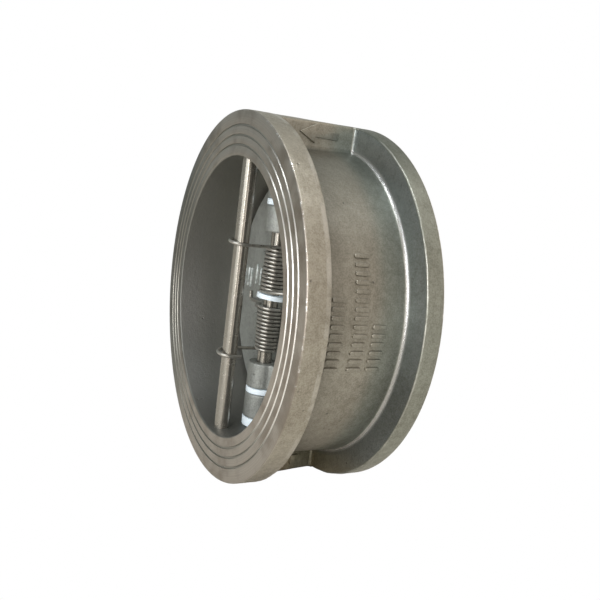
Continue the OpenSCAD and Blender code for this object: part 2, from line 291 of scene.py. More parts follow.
class Shader:
    """Builds one procedural material. Coordinates are the piece's own, in metres."""

    def __init__(self, name):
        self.material = bpy.data.materials.new(name)
        self.material.use_nodes = True
        self.tree = self.material.node_tree
        self.nodes = self.tree.nodes
        self.bsdf = self.nodes["Principled BSDF"]
        self.coords = self.nodes.new("ShaderNodeTexCoord").outputs["Object"]

    def link(self, source, target):
        """Feeds a socket from another socket or with a plain value."""
        if isinstance(source, bpy.types.NodeSocket):
            self.tree.links.new(source, target)
        else:
            target.default_value = source

    def noise(self, scale, detail=3.0, roughness=0.55, stretch=None):
        """Noise with scale features per metre, from 0 to 1."""
        node = self.nodes.new("ShaderNodeTexNoise")
        node.inputs["Scale"].default_value = scale
        node.inputs["Detail"].default_value = detail
        node.inputs["Roughness"].default_value = roughness
        source = self.coords
        if stretch:
            mapping = self.nodes.new("ShaderNodeMapping")
            mapping.inputs["Scale"].default_value = stretch
            self.link(source, mapping.inputs["Vector"])
            source = mapping.outputs["Vector"]
        self.link(source, node.inputs["Vector"])
        return node.outputs["Fac"]

    def cells(self, scale):
        """Distance from the nearest of the points scattered at scale per metre."""
        node = self.nodes.new("ShaderNodeTexVoronoi")
        node.inputs["Scale"].default_value = scale
        self.link(self.coords, node.inputs["Vector"])
        return node.outputs["Distance"]

    def math(self, operation, *values):
        node = self.nodes.new("ShaderNodeMath")
        node.operation = operation
        for value, socket in zip(values, node.inputs):
            self.link(value, socket)
        return node.outputs[0]

    def ramp(self, value, low, high, out_low=0.0, out_high=1.0):
        """Maps value smoothly from low..high to out_low..out_high, clamped."""
        node = self.nodes.new("ShaderNodeMapRange")
        node.interpolation_type = "SMOOTHSTEP"
        self.link(value, node.inputs["Value"])
        limits = {"From Min": low, "From Max": high, "To Min": out_low, "To Max": out_high}
        for socket, number in limits.items():
            node.inputs[socket].default_value = number
        return node.outputs["Result"]

    def near(self, value, middle, inner, outer):
        """1 where value is within inner of middle, fading to 0 at outer."""
        away = self.math("ABSOLUTE", self.math("SUBTRACT", value, middle))
        return self.ramp(away, inner, outer, 1.0, 0.0)

    def both(self, first, *others):
        """Product of masks and plain factors: where all of them are on."""
        for mask in others:
            first = self.math("MULTIPLY", first, mask)
        return first

    def mix(self, factor, a, b):
        """Colour from a to b by factor."""
        node = self.nodes.new("ShaderNodeMix")
        node.data_type = "RGBA"
        self.link(factor, node.inputs["Factor"])
        for colour, socket in ((a, node.inputs[6]), (b, node.inputs[7])):
            self.link(colour if isinstance(colour, bpy.types.NodeSocket) else (*colour, 1), socket)
        return node.outputs[2]

    def tinted(self, colour, tint):
        """The colour multiplied by a tint, which may be brighter than 1."""
        node = self.nodes.new("ShaderNodeVectorMath")
        node.operation = "MULTIPLY"
        self.link(colour, node.inputs[0])
        node.inputs[1].default_value = tint
        return node.outputs["Vector"]

    def mix_value(self, factor, a, b):
        """Number from a to b by factor."""
        node = self.nodes.new("ShaderNodeMix")
        self.link(factor, node.inputs["Factor"])
        self.link(a, node.inputs[2])
        self.link(b, node.inputs[3])
        return node.outputs[0]

    def axes(self):
        """The three coordinates."""
        node = self.nodes.new("ShaderNodeSeparateXYZ")
        self.link(self.coords, node.inputs[0])
        return node.outputs[0], node.outputs[1], node.outputs[2]

    def radius(self, a, b):
        """Distance from an axis, given the two coordinates across it."""
        squares = self.math("ADD", self.math("MULTIPLY", a, a), self.math("MULTIPLY", b, b))
        return self.math("SQRT", squares)

    def bump(self, height, distance, strength, normal=None):
        """Bump normal for a height from 0 to 1 that stands for distance, in metres."""
        node = self.nodes.new("ShaderNodeBump")
        node.inputs["Strength"].default_value = strength
        node.inputs["Distance"].default_value = distance
        self.link(height, node.inputs["Height"])
        if normal:
            self.link(normal, node.inputs["Normal"])
        return node.outputs["Normal"]

    def finish(self, colour, roughness, normal=None, metallic=0.85):
        """Feeds the surface and returns the material."""
        self.link(colour, self.bsdf.inputs["Base Color"])
        self.link(roughness, self.bsdf.inputs["Roughness"])
        self.bsdf.inputs["Metallic"].default_value = metallic
        if normal:
            self.link(normal, self.bsdf.inputs["Normal"])
        return self.material


def blasted(s, light, dark):
    """Colour, roughness and bump normal of a blasted stainless casting."""
    drift = s.ramp(s.noise(24, 3, 0.6), 0.32, 0.7)
    mottle = s.ramp(s.noise(300, 4, 0.65), 0.3, 0.72)
    speckle = s.ramp(s.noise(1300, 2, 0.6), 0.36, 0.66)
    shade_by = s.math("ADD", s.both(drift, 0.35), s.both(mottle, 0.3))
    shade_by = s.math("ADD", shade_by, s.both(speckle, 0.35))
    colour = s.mix(shade_by, light, dark)
    stains = s.ramp(s.noise(60, 5, 0.7), 0.64, 0.76)
    colour = s.mix(s.both(stains, 0.45), colour, STAIN)
    pits = s.ramp(s.cells(190), 0.0, 0.17, 1.0, 0.0)
    rare = s.ramp(s.noise(50, 1), 0.53, 0.6)
    pits = s.both(pits, rare)
    colour = s.mix(s.both(pits, 0.75), colour, PIT)
    normal = s.bump(s.noise(2300, 2, 0.6), 0.14 * MM, 0.6)
    normal = s.bump(s.noise(480, 4, 0.65), 0.4 * MM, 0.4, normal)
    normal = s.bump(s.both(pits, -1.0), 0.4 * MM, 0.6, normal)
    roughness = s.ramp(mottle, 0.0, 1.0, 0.34, 0.44)
    return colour, roughness, normal


def cast_outside(s, y, z, r, along):
    """Blasted casting: the rims' sides are brownest, the waist darker and the flanks between them coolest,
    both by painted shade, with more painted shade and light in places and a painted highlight along the
    inlet fillet.
    """
    colour, roughness, normal = blasted(s, CAST_LIGHT, CAST_DARK)
    colour = s.mix(s.ramp(y, 5 * MM, 15 * MM), colour, s.tinted(colour, INLET_TINT))
    below_rim = s.ramp(r, RIM_R - 1.2 * MM, RIM_R - 0.5 * MM, 1.0, 0.0)
    flank = s.ramp(along, INLET_FLANK_Y - 2.2 * MM, INLET_FLANK_Y - 1.0 * MM)
    low = s.ramp(z, -95 * MM, -62 * MM, 1.0, 0.0)
    # Painted shade in the recess between the rims: the waist darker, the flanks darker and cooler, and
    # painted light making the flanks lighter and warmer near the bottom.
    waist_shade_tone = s.tinted(colour, WAIST_SHADE_TINT)
    flank_shade_tone = s.mix(low, s.tinted(colour, FLANK_SHADE_TINT), s.tinted(colour, LOW_FLANK_LIGHT_TINT))
    colour = s.mix(below_rim, colour, s.mix(flank, waist_shade_tone, flank_shade_tone))
    waist = s.ramp(r, WAIST_R + 1.2 * MM, WAIST_R + 2.4 * MM, 1.0, 0.0)
    # Painted shade: the waist darker towards the outlet rim.
    outlet_waist_shade = s.both(waist, s.ramp(y, -24 * MM, -2 * MM, 1.0, 0.0))
    colour = s.mix(outlet_waist_shade, colour, s.tinted(colour, OUTLET_WAIST_SHADE_TINT))
    # Painted shade: the waist darker towards the top.
    high = s.both(waist, s.ramp(z, 20 * MM, 80 * MM))
    colour = s.mix(high, colour, s.tinted(colour, HIGH_WAIST_SHADE_TINT))
    # Painted shade: the inlet rim's side darker near the top.
    on_rim = s.ramp(r, RIM_R - 1.2 * MM, RIM_R - 0.5 * MM)
    top_rim_shade = s.both(on_rim, s.ramp(y, 20 * MM, 25 * MM), s.ramp(z, 66 * MM, 90 * MM))
    colour = s.mix(top_rim_shade, colour, s.tinted(colour, TOP_RIM_SHADE_TINT))
    # Painted light: the lower boss's walls and the flanks beside them lighter and warmer.
    low_boss_light = s.both(below_rim, low, s.ramp(r, WAIST_R + 2.4 * MM, WAIST_R + 4 * MM))
    colour = s.mix(low_boss_light, colour, s.tinted(colour, LOW_BOSS_LIGHT_TINT))
    # Painted highlight: a thin light line along the inlet flank's fillet, which is also smoother there.
    fillet = s.near(y, INLET_FLANK_Y - 1.6 * MM, 0.3 * MM, 1.0 * MM)
    fillet = s.both(fillet, s.ramp(r, WAIST_R + 1.6 * MM, WAIST_R + 2.4 * MM, 1.0, 0.0))
    colour = s.mix(s.both(fillet, 0.45), colour, FILLET_HIGHLIGHT)
    return colour, s.mix_value(fillet, roughness, 0.27), normal


def turned_steel(s, x, r):
    """Fine turned rings, stained in places, with painted shade darkening the left side."""
    rings = s.nodes.new("ShaderNodeTexNoise")
    rings.noise_dimensions = "1D"
    rings.inputs["Scale"].default_value = 3800
    rings.inputs["Detail"].default_value = 2
    s.link(r, rings.inputs["W"])
    streaks = s.ramp(rings.outputs["Fac"], 0.3, 0.7)
    colour = s.mix(streaks, TURNED_DARK, TURNED_LIGHT)
    colour = s.mix(s.ramp(s.noise(45, 4, 0.6), 0.42, 0.66), colour, TURNED_STAIN)
    # Painted shade: the left side of the face darker.
    left_face_shade = s.ramp(x, -80 * MM, -25 * MM, 1.0, 0.0)
    colour = s.mix(left_face_shade, colour, s.tinted(colour, LEFT_FACE_SHADE_TINT))
    return colour, s.bump(streaks, 0.04 * MM, 0.5)


def groove_mask(s, r, along):
    """The bottoms of the sealing grooves."""
    groove = None
    for g in GROOVE_RADII:
        band = s.near(r, g, 0.55 * MM, 0.75 * MM)
        groove = band if groove is None else s.math("MAXIMUM", groove, band)
    below_face = s.ramp(along, IN_Y - 0.09 * MM, IN_Y - 0.03 * MM, 1.0, 0.0)
    above_bottom = s.ramp(along, IN_Y - 0.8 * MM, IN_Y - 0.7 * MM)
    return s.both(groove, below_face, above_bottom)


def cast_body_material():
    """Blasted casting outside, turned rings on the two sealing faces and bare metal where the rim edges wear
    through, with painted highlights in the grooves and along the rims' flank edges and painted shade in the
    outlet bore.
    """
    s = Shader("cast_body")
    x, y, z = s.axes()
    r = s.radius(x, z)
    along = s.math("ABSOLUTE", y)
    colour, roughness, normal = cast_outside(s, y, z, r, along)
    face = s.ramp(along, IN_Y - 0.9 * MM, IN_Y - 0.15 * MM)
    turned, ring_normal = turned_steel(s, x, r)
    colour = s.mix(face, colour, turned)
    # Painted shade: the outlet bore's wall darker, most of all towards the bottom.
    bore = s.both(s.ramp(r, 73.2 * MM, 73.9 * MM, 1.0, 0.0), s.ramp(y, 10.7 * MM, 11.2 * MM, 1.0, 0.0))
    bore_shade_tone = s.mix(s.ramp(z, -10 * MM, 70 * MM), BORE_SHADE_LOW, BORE_SHADE_HIGH)
    colour = s.mix(s.both(bore, 0.85), colour, bore_shade_tone)
    groove = groove_mask(s, r, along)
    # Painted highlight: the groove bottoms light on the right of the faces, less so towards the top and not
    # at the bottom.
    groove_highlight_side = s.both(s.ramp(x, 0.0, 55 * MM), s.ramp(z, -70 * MM, -30 * MM),
                         s.ramp(z, 20 * MM, 72 * MM, 1.0, 0.25))
    colour = s.mix(groove, colour, s.mix(groove_highlight_side, GROOVE_DULL, GROOVE_HIGHLIGHT))
    rim_edge = s.both(s.ramp(r, 95.1 * MM, 95.4 * MM), s.ramp(along, IN_Y - 0.9 * MM, IN_Y - 0.6 * MM))
    chipped = s.ramp(s.noise(260, 4, 0.75), 0.54, 0.64)
    wear_and_sheen = s.both(rim_edge, s.ramp(z, -45 * MM, 0.0), chipped)
    colour = s.mix(wear_and_sheen, colour, WORN_EDGE)
    # Painted highlight: a broken light line along each rim's edge beside its flank.
    lip = s.both(s.ramp(r, 95.2 * MM, 95.5 * MM), s.near(along, LIP_Y, 1.2 * MM, 1.8 * MM))
    lip = s.both(lip, s.ramp(s.noise(90, 3), 0.35, 0.6))
    colour = s.mix(s.both(lip, 0.4), colour, FLANK_LIP_HIGHLIGHT)
    roughness = s.mix_value(face, roughness, 0.34)
    roughness = s.mix_value(groove, roughness, 0.3)
    roughness = s.mix_value(bore, roughness, 0.5)
    roughness = s.mix_value(wear_and_sheen, roughness, 0.2)
    mixed = s.nodes.new("ShaderNodeMix")
    mixed.data_type = "VECTOR"
    s.link(face, mixed.inputs["Factor"])
    s.link(normal, mixed.inputs[4])
    s.link(ring_normal, mixed.inputs[5])
    return s.finish(colour, roughness, mixed.outputs[1])


def cast_plate_material():
    """Duller, greyer casting for the half discs and their lugs."""
    s = Shader("cast_plate")
    colour, _, normal = blasted(s, PLATE_LIGHT, PLATE_DARK)
    return s.finish(colour, 0.52, normal, metallic=0.55)


def ground_pin_material():
    """Bar ground all round, so its highlights stretch along it, with a few scuffs."""
    s = Shader("ground_pin")
    tangent = s.nodes.new("ShaderNodeTangent")
    tangent.direction_type = "RADIAL"
    tangent.axis = "Z"
    s.link(tangent.outputs["Tangent"], s.bsdf.inputs["Tangent"])
    s.bsdf.inputs["Anisotropic"].default_value = 0.75
    s.bsdf.inputs["Anisotropic Rotation"].default_value = 0.25
    blotches = s.noise(260, 4, 0.6)
    scuffs = s.ramp(s.noise(220, 3, 0.6, stretch=(4.0, 4.0, 0.3)), 0.6, 0.78)
    colour = s.mix(s.ramp(blotches, 0.3, 0.7), PIN_DARK, PIN_LIGHT)
    colour = s.mix(s.both(scuffs, 0.3), colour, PIN_SCUFF)
    roughness = s.ramp(blotches, 0.3, 0.7, 0.26, 0.275)
    return s.finish(colour, roughness)


def wire_material():
    """Bright drawn wire with faint streaks."""
    s = Shader("spring_wire")
    mottle = s.noise(500, 3, 0.6)
    colour = s.mix(s.ramp(mottle, 0.3, 0.7), WIRE_DARK, WIRE_LIGHT)
    roughness = s.ramp(mottle, 0.3, 0.7, 0.27, 0.33)
    return s.finish(colour, roughness, s.bump(s.noise(2500, 2), 0.01 * MM, 0.15))


def ptfe_material():
    """White plastic with turning marks and a faint bluish glow, which is painted light."""
    s = Shader("white_ptfe")
    rings = s.noise(1400, 2, 0.5, stretch=(0.3, 0.3, 2.0))
    colour = s.mix(s.ramp(rings, 0.3, 0.7), PTFE_DARK, PTFE_LIGHT)
    # Painted light: a faint bluish glow, though the plastic is no lamp.
    s.bsdf.inputs["Emission Color"].default_value = PTFE_PAINTED_GLOW
    s.bsdf.inputs["Emission Strength"].default_value = 0.12
    roughness = s.ramp(rings, 0.3, 0.7, 0.34, 0.46)
    return s.finish(colour, roughness, s.bump(rings, 0.03 * MM, 0.4), metallic=0.0)


def rubber_material():
    """Matt black moulded rubber."""
    s = Shader("seat_rubber")
    bloom = s.noise(260, 4, 0.6)
    colour = s.mix(s.ramp(bloom, 0.35, 0.7), RUBBER_DARK, RUBBER_BLOOM)
    roughness = s.ramp(bloom, 0.3, 0.7, 0.5, 0.68)
    return s.finish(colour, roughness, s.bump(s.noise(2600, 2), 0.05 * MM, 0.4), metallic=0.0)


def plug_material():
    """Machined steel plug, a little oxidised."""
    s = Shader("plug_steel")
    stain = s.noise(400, 4, 0.6)
    colour = s.mix(s.ramp(stain, 0.35, 0.68), PLUG_LIGHT, PLUG_STAIN)
    roughness = s.ramp(stain, 0.3, 0.7, 0.3, 0.5)
    return s.finish(colour, roughness, s.bump(s.noise(1800, 2), 0.04 * MM, 0.4))


def dress(obj, material, body):
    """Gives a new piece its material, slot and body."""
    obj.data.materials.clear()
    obj.data.materials.append(material)
    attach(obj, body)


# ---------------------------------------------------------------- the casting

def groove_points(y, out):
    """Rounded grooves of one sealing face, outermost first. out is +1 or -1 along Y."""
    points = []
    for g in reversed(GROOVE_RADII):
        for offset, depth in ((0.75, 0), (0.6, 0.08), (0.42, 0.6), (0.3, 0.95), (-0.3, 0.95),
                              (-0.42, 0.6), (-0.6, 0.08), (-0.75, 0)):
            points.append((g + offset * MM, y - out * depth * GROOVE_DEPTH))
    return points


def body_section():
    """Section of the casting as (radius, y): outside, inlet face, both bores, outlet face."""
    edge = 0.8 * MM
    lip = 0.7 * MM
    fillet = WAIST_FILLET
    inner_flank = INLET_FLANK_Y - FLANK_DRAFT
    outside = [(RIM_R - edge, OUT_Y)]
    outside += arc((RIM_R - edge, OUT_Y + edge), edge, 270, 360, 5)[1:]
    outside += [(RIM_R, OUT_Y + step * MM) for step in (3, 5, 7, 9)]
    outside += arc((RIM_R - lip, OUTLET_FLANK_Y - lip), lip, 0, 90, 5)
    outside += arc((WAIST_R + fillet, OUTLET_FLANK_Y + fillet), fillet, 270, 180, 10)
    outside += [(WAIST_R, step * MM) for step in range(-18, 22, 3)]
    outside += arc((WAIST_R + fillet, inner_flank - fillet), fillet, 180, 94, 10)
    outside += arc((RIM_R - lip, INLET_FLANK_Y + lip), lip, 274, 360, 5)
    outside += [(RIM_R, IN_Y - step * MM) for step in (7, 5, 3)]
    outside += arc((RIM_R - edge, IN_Y - edge), edge, 0, 90, 5)
    bore_edge = 1.0 * MM
    inside = arc((INLET_R + bore_edge, IN_Y - bore_edge), bore_edge, 90, 180, 5)
    inside += [(INLET_R, SEAT_Y + 0.3 * MM), (INLET_R + 0.3 * MM, SEAT_Y)]
    inside += [(OUTLET_R - 1.5 * MM, SEAT_Y)]
    inside += arc((OUTLET_R - 1.5 * MM, SEAT_Y - 1.5 * MM), 1.5 * MM, 90, 0, 5)
    inside += arc((OUTLET_R + bore_edge, OUT_Y + bore_edge), bore_edge, 180, 270, 5)
    outlet_face = list(reversed(groove_points(OUT_Y, -1)))
    return outside + groove_points(IN_Y, 1) + inside + outlet_face


def boss_half(y):
    """Half width of a pin boss, with the flare where it meets the inlet rim's flank."""
    start, end = OUTLET_FLANK_Y, INLET_FLANK_Y - FLANK_DRAFT
    half = BOSS_WIDE + (BOSS_NARROW - BOSS_WIDE) * (y - start) / (end - start)
    flare = BOSS_FLARE
    for inside_by in (end - y, y - start):
        depth = flare - inside_by
        if depth > 0:
            half += flare - math.sqrt(max(flare * flare - min(depth, flare) ** 2, 0))
    return half


def boss_ring(y, sink):
    """Section of the upper boss at y: fillet, wall, rounded edge, top, and the same down the other side."""
    half = boss_half(y)
    fillet = 3.0 * MM
    edge = 1.6 * MM
    root = Vector((half + fillet, math.sqrt((WAIST_R + fillet) ** 2 - (half + fillet) ** 2)))
    a0 = math.degrees(math.atan2(-root.y, -root.x))
    side = [(root.x + 1.5 * MM, math.sqrt(WAIST_R ** 2 - (root.x + 1.5 * MM) ** 2) - sink)]
    side += arc(root, fillet, a0, -180, 8)
    side += [(half, WAIST_R + 4 * MM), (half, WAIST_R + 8 * MM)]
    corner = (half - edge, math.sqrt((RIM_R - edge) ** 2 - (half - edge) ** 2))
    top_angle = math.degrees(math.atan2(corner[1], corner[0]))
    side += arc(corner, edge, 0, top_angle, 6)
    reach = (half - edge) * RIM_R / (RIM_R - edge)
    top = []
    for i in range(1, 12):
        x = reach * (1 - i / 6)
        top.append((x, math.sqrt(RIM_R ** 2 - x * x)))
    other = [(-x, z) for x, z in reversed(side)]
    deep = [(-half, 76 * MM), (half, 76 * MM)]
    return [Vector((x, y, z)) for x, z in side + top + other + deep]


def boss(name, upside_down):
    """Pin boss between the rims. It runs a little way into both, to be joined to them."""
    start, end = OUTLET_FLANK_Y, INLET_FLANK_Y - FLANK_DRAFT
    flare = BOSS_FLARE
    run_in = 3 * MM
    places = [start - run_in, start]
    places += [start + flare * (1 - math.cos(math.radians(15 * i))) for i in range(1, 7)]
    places += [start + (end - start) * i / 8 for i in range(1, 8)]
    places += [end - flare * (1 - math.cos(math.radians(15 * i))) for i in range(6, 0, -1)]
    places += [end, end + run_in]
    rings = [boss_ring(y, 0.25 * MM) for y in sorted(places)]
    obj = mesh_object(name, *skin(rings, capped=True))
    if upside_down:
        obj.data.transform(Matrix.Rotation(math.pi, 4, "Y"))
    return obj


def centre_bar():
    """Bar across the inlet bore, flared where it runs into the bore's wall."""
    def outline(widen):
        half, nose = BAR_HALF + widen, BAR_HALF / 2.5 + widen
        back = SEAT_Y + BAR_DEPTH
        points = [(half, SEAT_Y), (half, SEAT_Y + 6 * MM)]
        points += [(nose + 0.4 * MM, back - 2 * MM)]
        points += arc((0, back - nose), nose, 20, 160, 8)
        points += [(-nose - 0.4 * MM, back - 2 * MM), (-half, SEAT_Y + 6 * MM), (-half, SEAT_Y)]
        return points

    flare = 4 * MM
    upper_half = [(0, 0)]
    for i in range(7):
        a = math.radians(15 * i)
        z = INLET_R - flare - 0.6 * MM + flare * math.sin(a)
        upper_half.append((z, flare * (1 - math.cos(a))))
    upper_half.append((INLET_R + 2.5 * MM, flare))
    lower_half = [(-z, widen) for z, widen in reversed(upper_half[1:])]
    rings = []
    for z, widen in lower_half + upper_half:
        rings.append([Vector((x, y, z)) for x, y in outline(widen)])
    return mesh_object("centre_bar", *skin(rings, capped=True))


def rounded_slab(name, outline, height=MARK_HEIGHT, edge=MARK_EDGE, segments=3):
    """A flat pad in the XY plane with a rounded top edge, for raised casting marks."""
    count = len(outline)
    rings = [[Vector((p[0], p[1], -MARK_ROOT)) for p in outline]]
    normals = []
    for i in range(count):
        before, after = Vector(outline[i - 1]), Vector(outline[(i + 1) % count])
        along = (after - before).normalized()
        normals.append(Vector((-along.y, along.x)))
    for i in range(segments + 1):
        a = math.radians(90 * i / segments)
        inset = edge * (1 - math.cos(a))
        z = height - edge + edge * math.sin(a)
        rings.append([Vector((p[0] + n.x * inset, p[1] + n.y * inset, z)) for p, n in zip(outline, normals)])
    return mesh_object(name, *skin(rings, capped=True), 50)


def pill_outline(length, width, steps=6):
    """Outline of a bar with round ends, anticlockwise."""
    r = width / 2
    half = length / 2 - r
    return arc((half, 0), r, -90, 90, steps) + arc((-half, 0), r, 90, 270, steps)


def place_on_waist(obj, angle, y):
    """Lays a pad, made in the XY plane, on the waist at an angle from +Z towards +X."""
    out = Vector((math.sin(angle), 0, math.cos(angle)))
    along_y = Vector((0, 1, 0))
    third = out.cross(along_y)
    basis = Matrix((along_y, third, out)).transposed().to_4x4()
    obj.data.transform(Matrix.Translation(out * WAIST_R + Vector((0, y, 0))) @ basis)


def join(name, objects):
    """Joins objects into the first one and names it."""
    with bpy.context.temp_override(active_object=objects[0], object=objects[0],
                                   selected_objects=objects, selected_editable_objects=objects):
        bpy.ops.object.join()
    objects[0].name = name
    objects[0].data.name = name
    return objects[0]


def roughen(mesh):
    """Pushes the as-cast outside in and out a little. The turned faces and bores stay true."""
    for vertex in mesh.vertices:
        p = vertex.co
        r = math.hypot(p.x, p.z)
        if r < WAIST_R - 1 * MM or abs(p.y) > IN_Y - 1.2 * MM:
            continue
        lift = noise.noise(p * 90) * 0.6 + noise.noise(p * 320) * 0.4
        vertex.co = p + Vector((p.x, 0, p.z)) * (lift * CAST_UNEVEN / r)


def build_casting(material):
    """The body: a turned casting with bosses, a centre bar and four plug holes."""
    casting = lathe("valve_body_casting", body_section())
    for other in (boss("boss_top", False), boss("boss_bottom", True), centre_bar()):
        boolean(casting, other, "UNION")
    start, end = PLUG_HOLE
    hole_section = [(0, start), (PLUG_R, start), (PLUG_R, end), (0, end)]
    for y in (HINGE_Y, STOP_Y):
        for upside_down in (False, True):
            hole = lathe("hole", hole_section, centre=(0, y, 0), axis="Z", steps=48)
            if upside_down:
                hole.data.transform(Matrix.Rotation(math.pi, 4, "Y"))
            boolean(casting, hole, "DIFFERENCE")
    roughen(casting.data)
    shade(casting.data, 35)
    dress(casting, material, "body")
    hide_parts("valve_body")


def place_on_boss(obj, y, z):
    """Lays a pad, made in the XY plane, on the +X wall of a boss."""
    slope = (BOSS_NARROW - BOSS_WIDE) / (INLET_FLANK_Y - FLANK_DRAFT - OUTLET_FLANK_Y)
    along = Vector((slope, 1, 0)).normalized()
    up = Vector((0, 0, 1))
    basis = Matrix((along, up, along.cross(up))).transposed().to_4x4()
    obj.data.transform(Matrix.Translation((boss_half(y), y, z)) @ basis)


def flow_arrow(material):
    """Raised flow arrow on the side of the upper boss, pointing at the outlet."""
    outline = [(-ARROW_HEAD, 0), (0, -ARROW_WING), (0, -ARROW_NECK), (ARROW_SHAFT, -ARROW_NECK),
               (ARROW_SHAFT, ARROW_NECK), (0, ARROW_NECK), (0, ARROW_WING)]
    arrow = rounded_slab("flow_arrow", outline)
    place_on_boss(arrow, *ARROW_PLACE)
    dress(arrow, material, "body")


def boss_pad(material):
    """Raised square on the side of the lower boss."""
    half = PAD_HALF
    pad = rounded_slab("boss_pad", [(-half, -half), (half, -half), (half, half), (-half, half)])
    place_on_boss(pad, *PAD_PLACE)
    dress(pad, material, "body")


def waist_marks(material):
    """Rows of plain raised bars, in place of cast lettering."""
    bars = []
    for y, first, last, count in WAIST_ROWS:
        for i in range(count):
            angle = math.radians(first + (last - first) * i / (count - 1))
            bar = rounded_slab("bar", pill_outline(*WAIST_BAR))
            place_on_waist(bar, angle, y)
            bars.append(bar)
    dress(join("waist_marks", bars), material, "body")


# ---------------------------------------------------------------- plates

def cast_copy(node, name, voxel, passes):
    """A casting made from a CAD node: its edges and inner corners are softened."""
    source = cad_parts[node]
    obj = bpy.data.objects.new(name, source.data.copy())
    bpy.context.scene.collection.objects.link(obj)
    remesh = obj.modifiers.new("remesh", "REMESH")
    remesh.mode = "VOXEL"
    remesh.voxel_size = voxel
    smooth = obj.modifiers.new("smooth", "SMOOTH")
    smooth.factor = 0.5
    smooth.iterations = passes
    apply_modifiers(obj)
    shade(obj.data, 80)
    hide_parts(node)
    return obj


def clear_pin_hole(plate):
    """Cuts the lugs' pin hole again, because softening the casting draws it in."""
    low, high = PIN_LOW.z, PIN_HIGH.z
    hole_r = PIN_R + HOLE_PLAY
    section = [(0, low), (hole_r, low), (hole_r, high), (0, high)]
    cutter = lathe("pin_hole", section, centre=(0, HINGE_Y, 0), axis="Z", steps=96)
    boolean(plate, cutter, "DIFFERENCE")
    shade(plate.data, 80)


def plate_marks():
    """Raised bars on the left plate, in place of cast lettering, coloured light as a painted highlight."""
    s = Shader("plate_marks_sheen")
    # Painted highlight: the bars' colour runs from pale to near white in blotches.
    wear_and_sheen = s.ramp(s.noise(350, 3, 0.6), 0.35, 0.65)
    colour = s.mix(wear_and_sheen, PLATE_MARK_SHEEN_DARK, PLATE_MARK_SHEEN_LIGHT)
    material = s.finish(colour, s.ramp(wear_and_sheen, 0.0, 1.0, 0.5, 0.3), s.bump(wear_and_sheen, 0.1 * MM, 0.5))
    face_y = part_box("left_plate")[1].y - PLATE_T
    basis = Matrix(((0, 0, 1), (1, 0, 0), (0, -1, 0))).transposed().to_4x4()
    bars = []
    for x, z in PLATE_BAR_PLACES:
        bar = rounded_slab("bar", pill_outline(*PLATE_BAR), height=0.8 * MM, edge=0.35 * MM)
        bar.data.transform(Matrix.Translation((x * MM, face_y, z * MM)) @ basis)
        bars.append(bar)
    dress(join("plate_marks", bars), material, "left_door")


# ---------------------------------------------------------------- pins, washers, springs

def pin_piece(name, node, material):
    """Round pin with rounded ends, in place of a CAD node."""
    low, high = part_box(node)
    edge = 0.6 * MM
    section = [(0, low.z), (PIN_R - edge, low.z), (PIN_R, low.z + edge), (PIN_R, high.z - edge),
               (PIN_R - edge, high.z), (0, high.z)]
    pin = lathe(name, section, centre=(0, (low.y + high.y) / 2, 0), axis="Z", steps=96)
    dress(pin, material, "body")
    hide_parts(node)


def washer_piece(node, material, tilt=0.0):
    """Washer or bush on the hinge pin. A tilted one has a wider hole, to clear the pin."""
    low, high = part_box(node)
    r = (high.x - low.x) / 2
    hole = PIN_R + (0.05 * MM if tilt == 0 else 0.4 * MM)
    edge = 0.3 * MM
    section = [(hole, low.z), (hole, high.z)]
    section += arc((r - edge, high.z - edge), edge, 90, 0, 4)
    section += arc((r - edge, low.z + edge), edge, 0, -90, 4)
    washer = lathe(node + "_ring", section, axis="Z", steps=96)
    middle = Vector((0, 0, (low.z + high.z) / 2))
    turn = Matrix.Rotation(tilt, 4, "X")
    place = Matrix.Translation(Vector((0, HINGE_Y, 0)) + middle) @ turn @ Matrix.Translation(-middle)
    washer.data.transform(place)
    dress(washer, material, "body")
    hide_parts(node)


def coil_path(steps_per_turn=44):
    """Lower spring: coil from the inner end down, leg to the stop pin, and the hook round it."""
    steps = round(COIL_TURNS * steps_per_turn)
    path = []
    for i in range(steps + 1):
        share = i / steps
        a = math.radians(270 + 360 * COIL_TURNS * share)
        r = COIL_R_INNER + (COIL_R_OUTER - COIL_R_INNER) * share
        z = COIL_START + (COIL_END - COIL_START) * share
        path.append(Vector((r * math.cos(a), HINGE_Y + r * math.sin(a), z)))
    start = path[-1]
    for i in range(1, 12):
        share = i / 12
        path.append(start.lerp(Vector((-HOOK_R, HOOK_Y, COIL_END)), share))
    for i in range(31):
        share = i / 30
        a = math.radians(180 + 180 * share)
        x = HOOK_R * math.cos(a)
        y = HOOK_Y + HOOK_R * math.sin(a)
        path.append(Vector((x, y, COIL_END - HOOK_DROP * share)))
    path.append(path[-1] + Vector((0, HOOK_TAIL, 0)))
    return path


def leg_path():
    """Leg from the coil to the plate. It bends clear of the stop pin and ends in an upturned tip."""
    face_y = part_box("left_plate")[1].y - PLATE_T
    tip = Vector((-LEG_REACH, face_y - LEG_GAP - WIRE_R, COIL_START - LEG_DROP))
    corners = [Vector((0, HINGE_Y - COIL_R_INNER, COIL_START))]
    corners += [Vector((x, y, COIL_START + LEG_DROP * x / LEG_REACH)) for x, y in LEG_BENDS]
    corners += [tip]
    path = [corners[0]]
    for before, corner, after in zip(corners, corners[1:], corners[2:]):
        reach = min(LEG_BEND_REACH, (before - corner).length / 2, (after - corner).length / 2)
        start = corner + (before - corner).normalized() * reach
        end = corner + (after - corner).normalized() * reach
        for i in range(7):
            t = i / 6
            path.append(start.lerp(corner, t).lerp(corner.lerp(end, t), t))
    path.append(tip)
    for i in range(1, 7):
        a = math.radians(90 * i / 6)
        path.append(tip + LEG_TIP_TURN * Vector((-math.sin(a), 0, 1 - math.cos(a))))
    path.append(path[-1] + Vector((0, 0, LEG_TIP_LENGTH)))
    return path


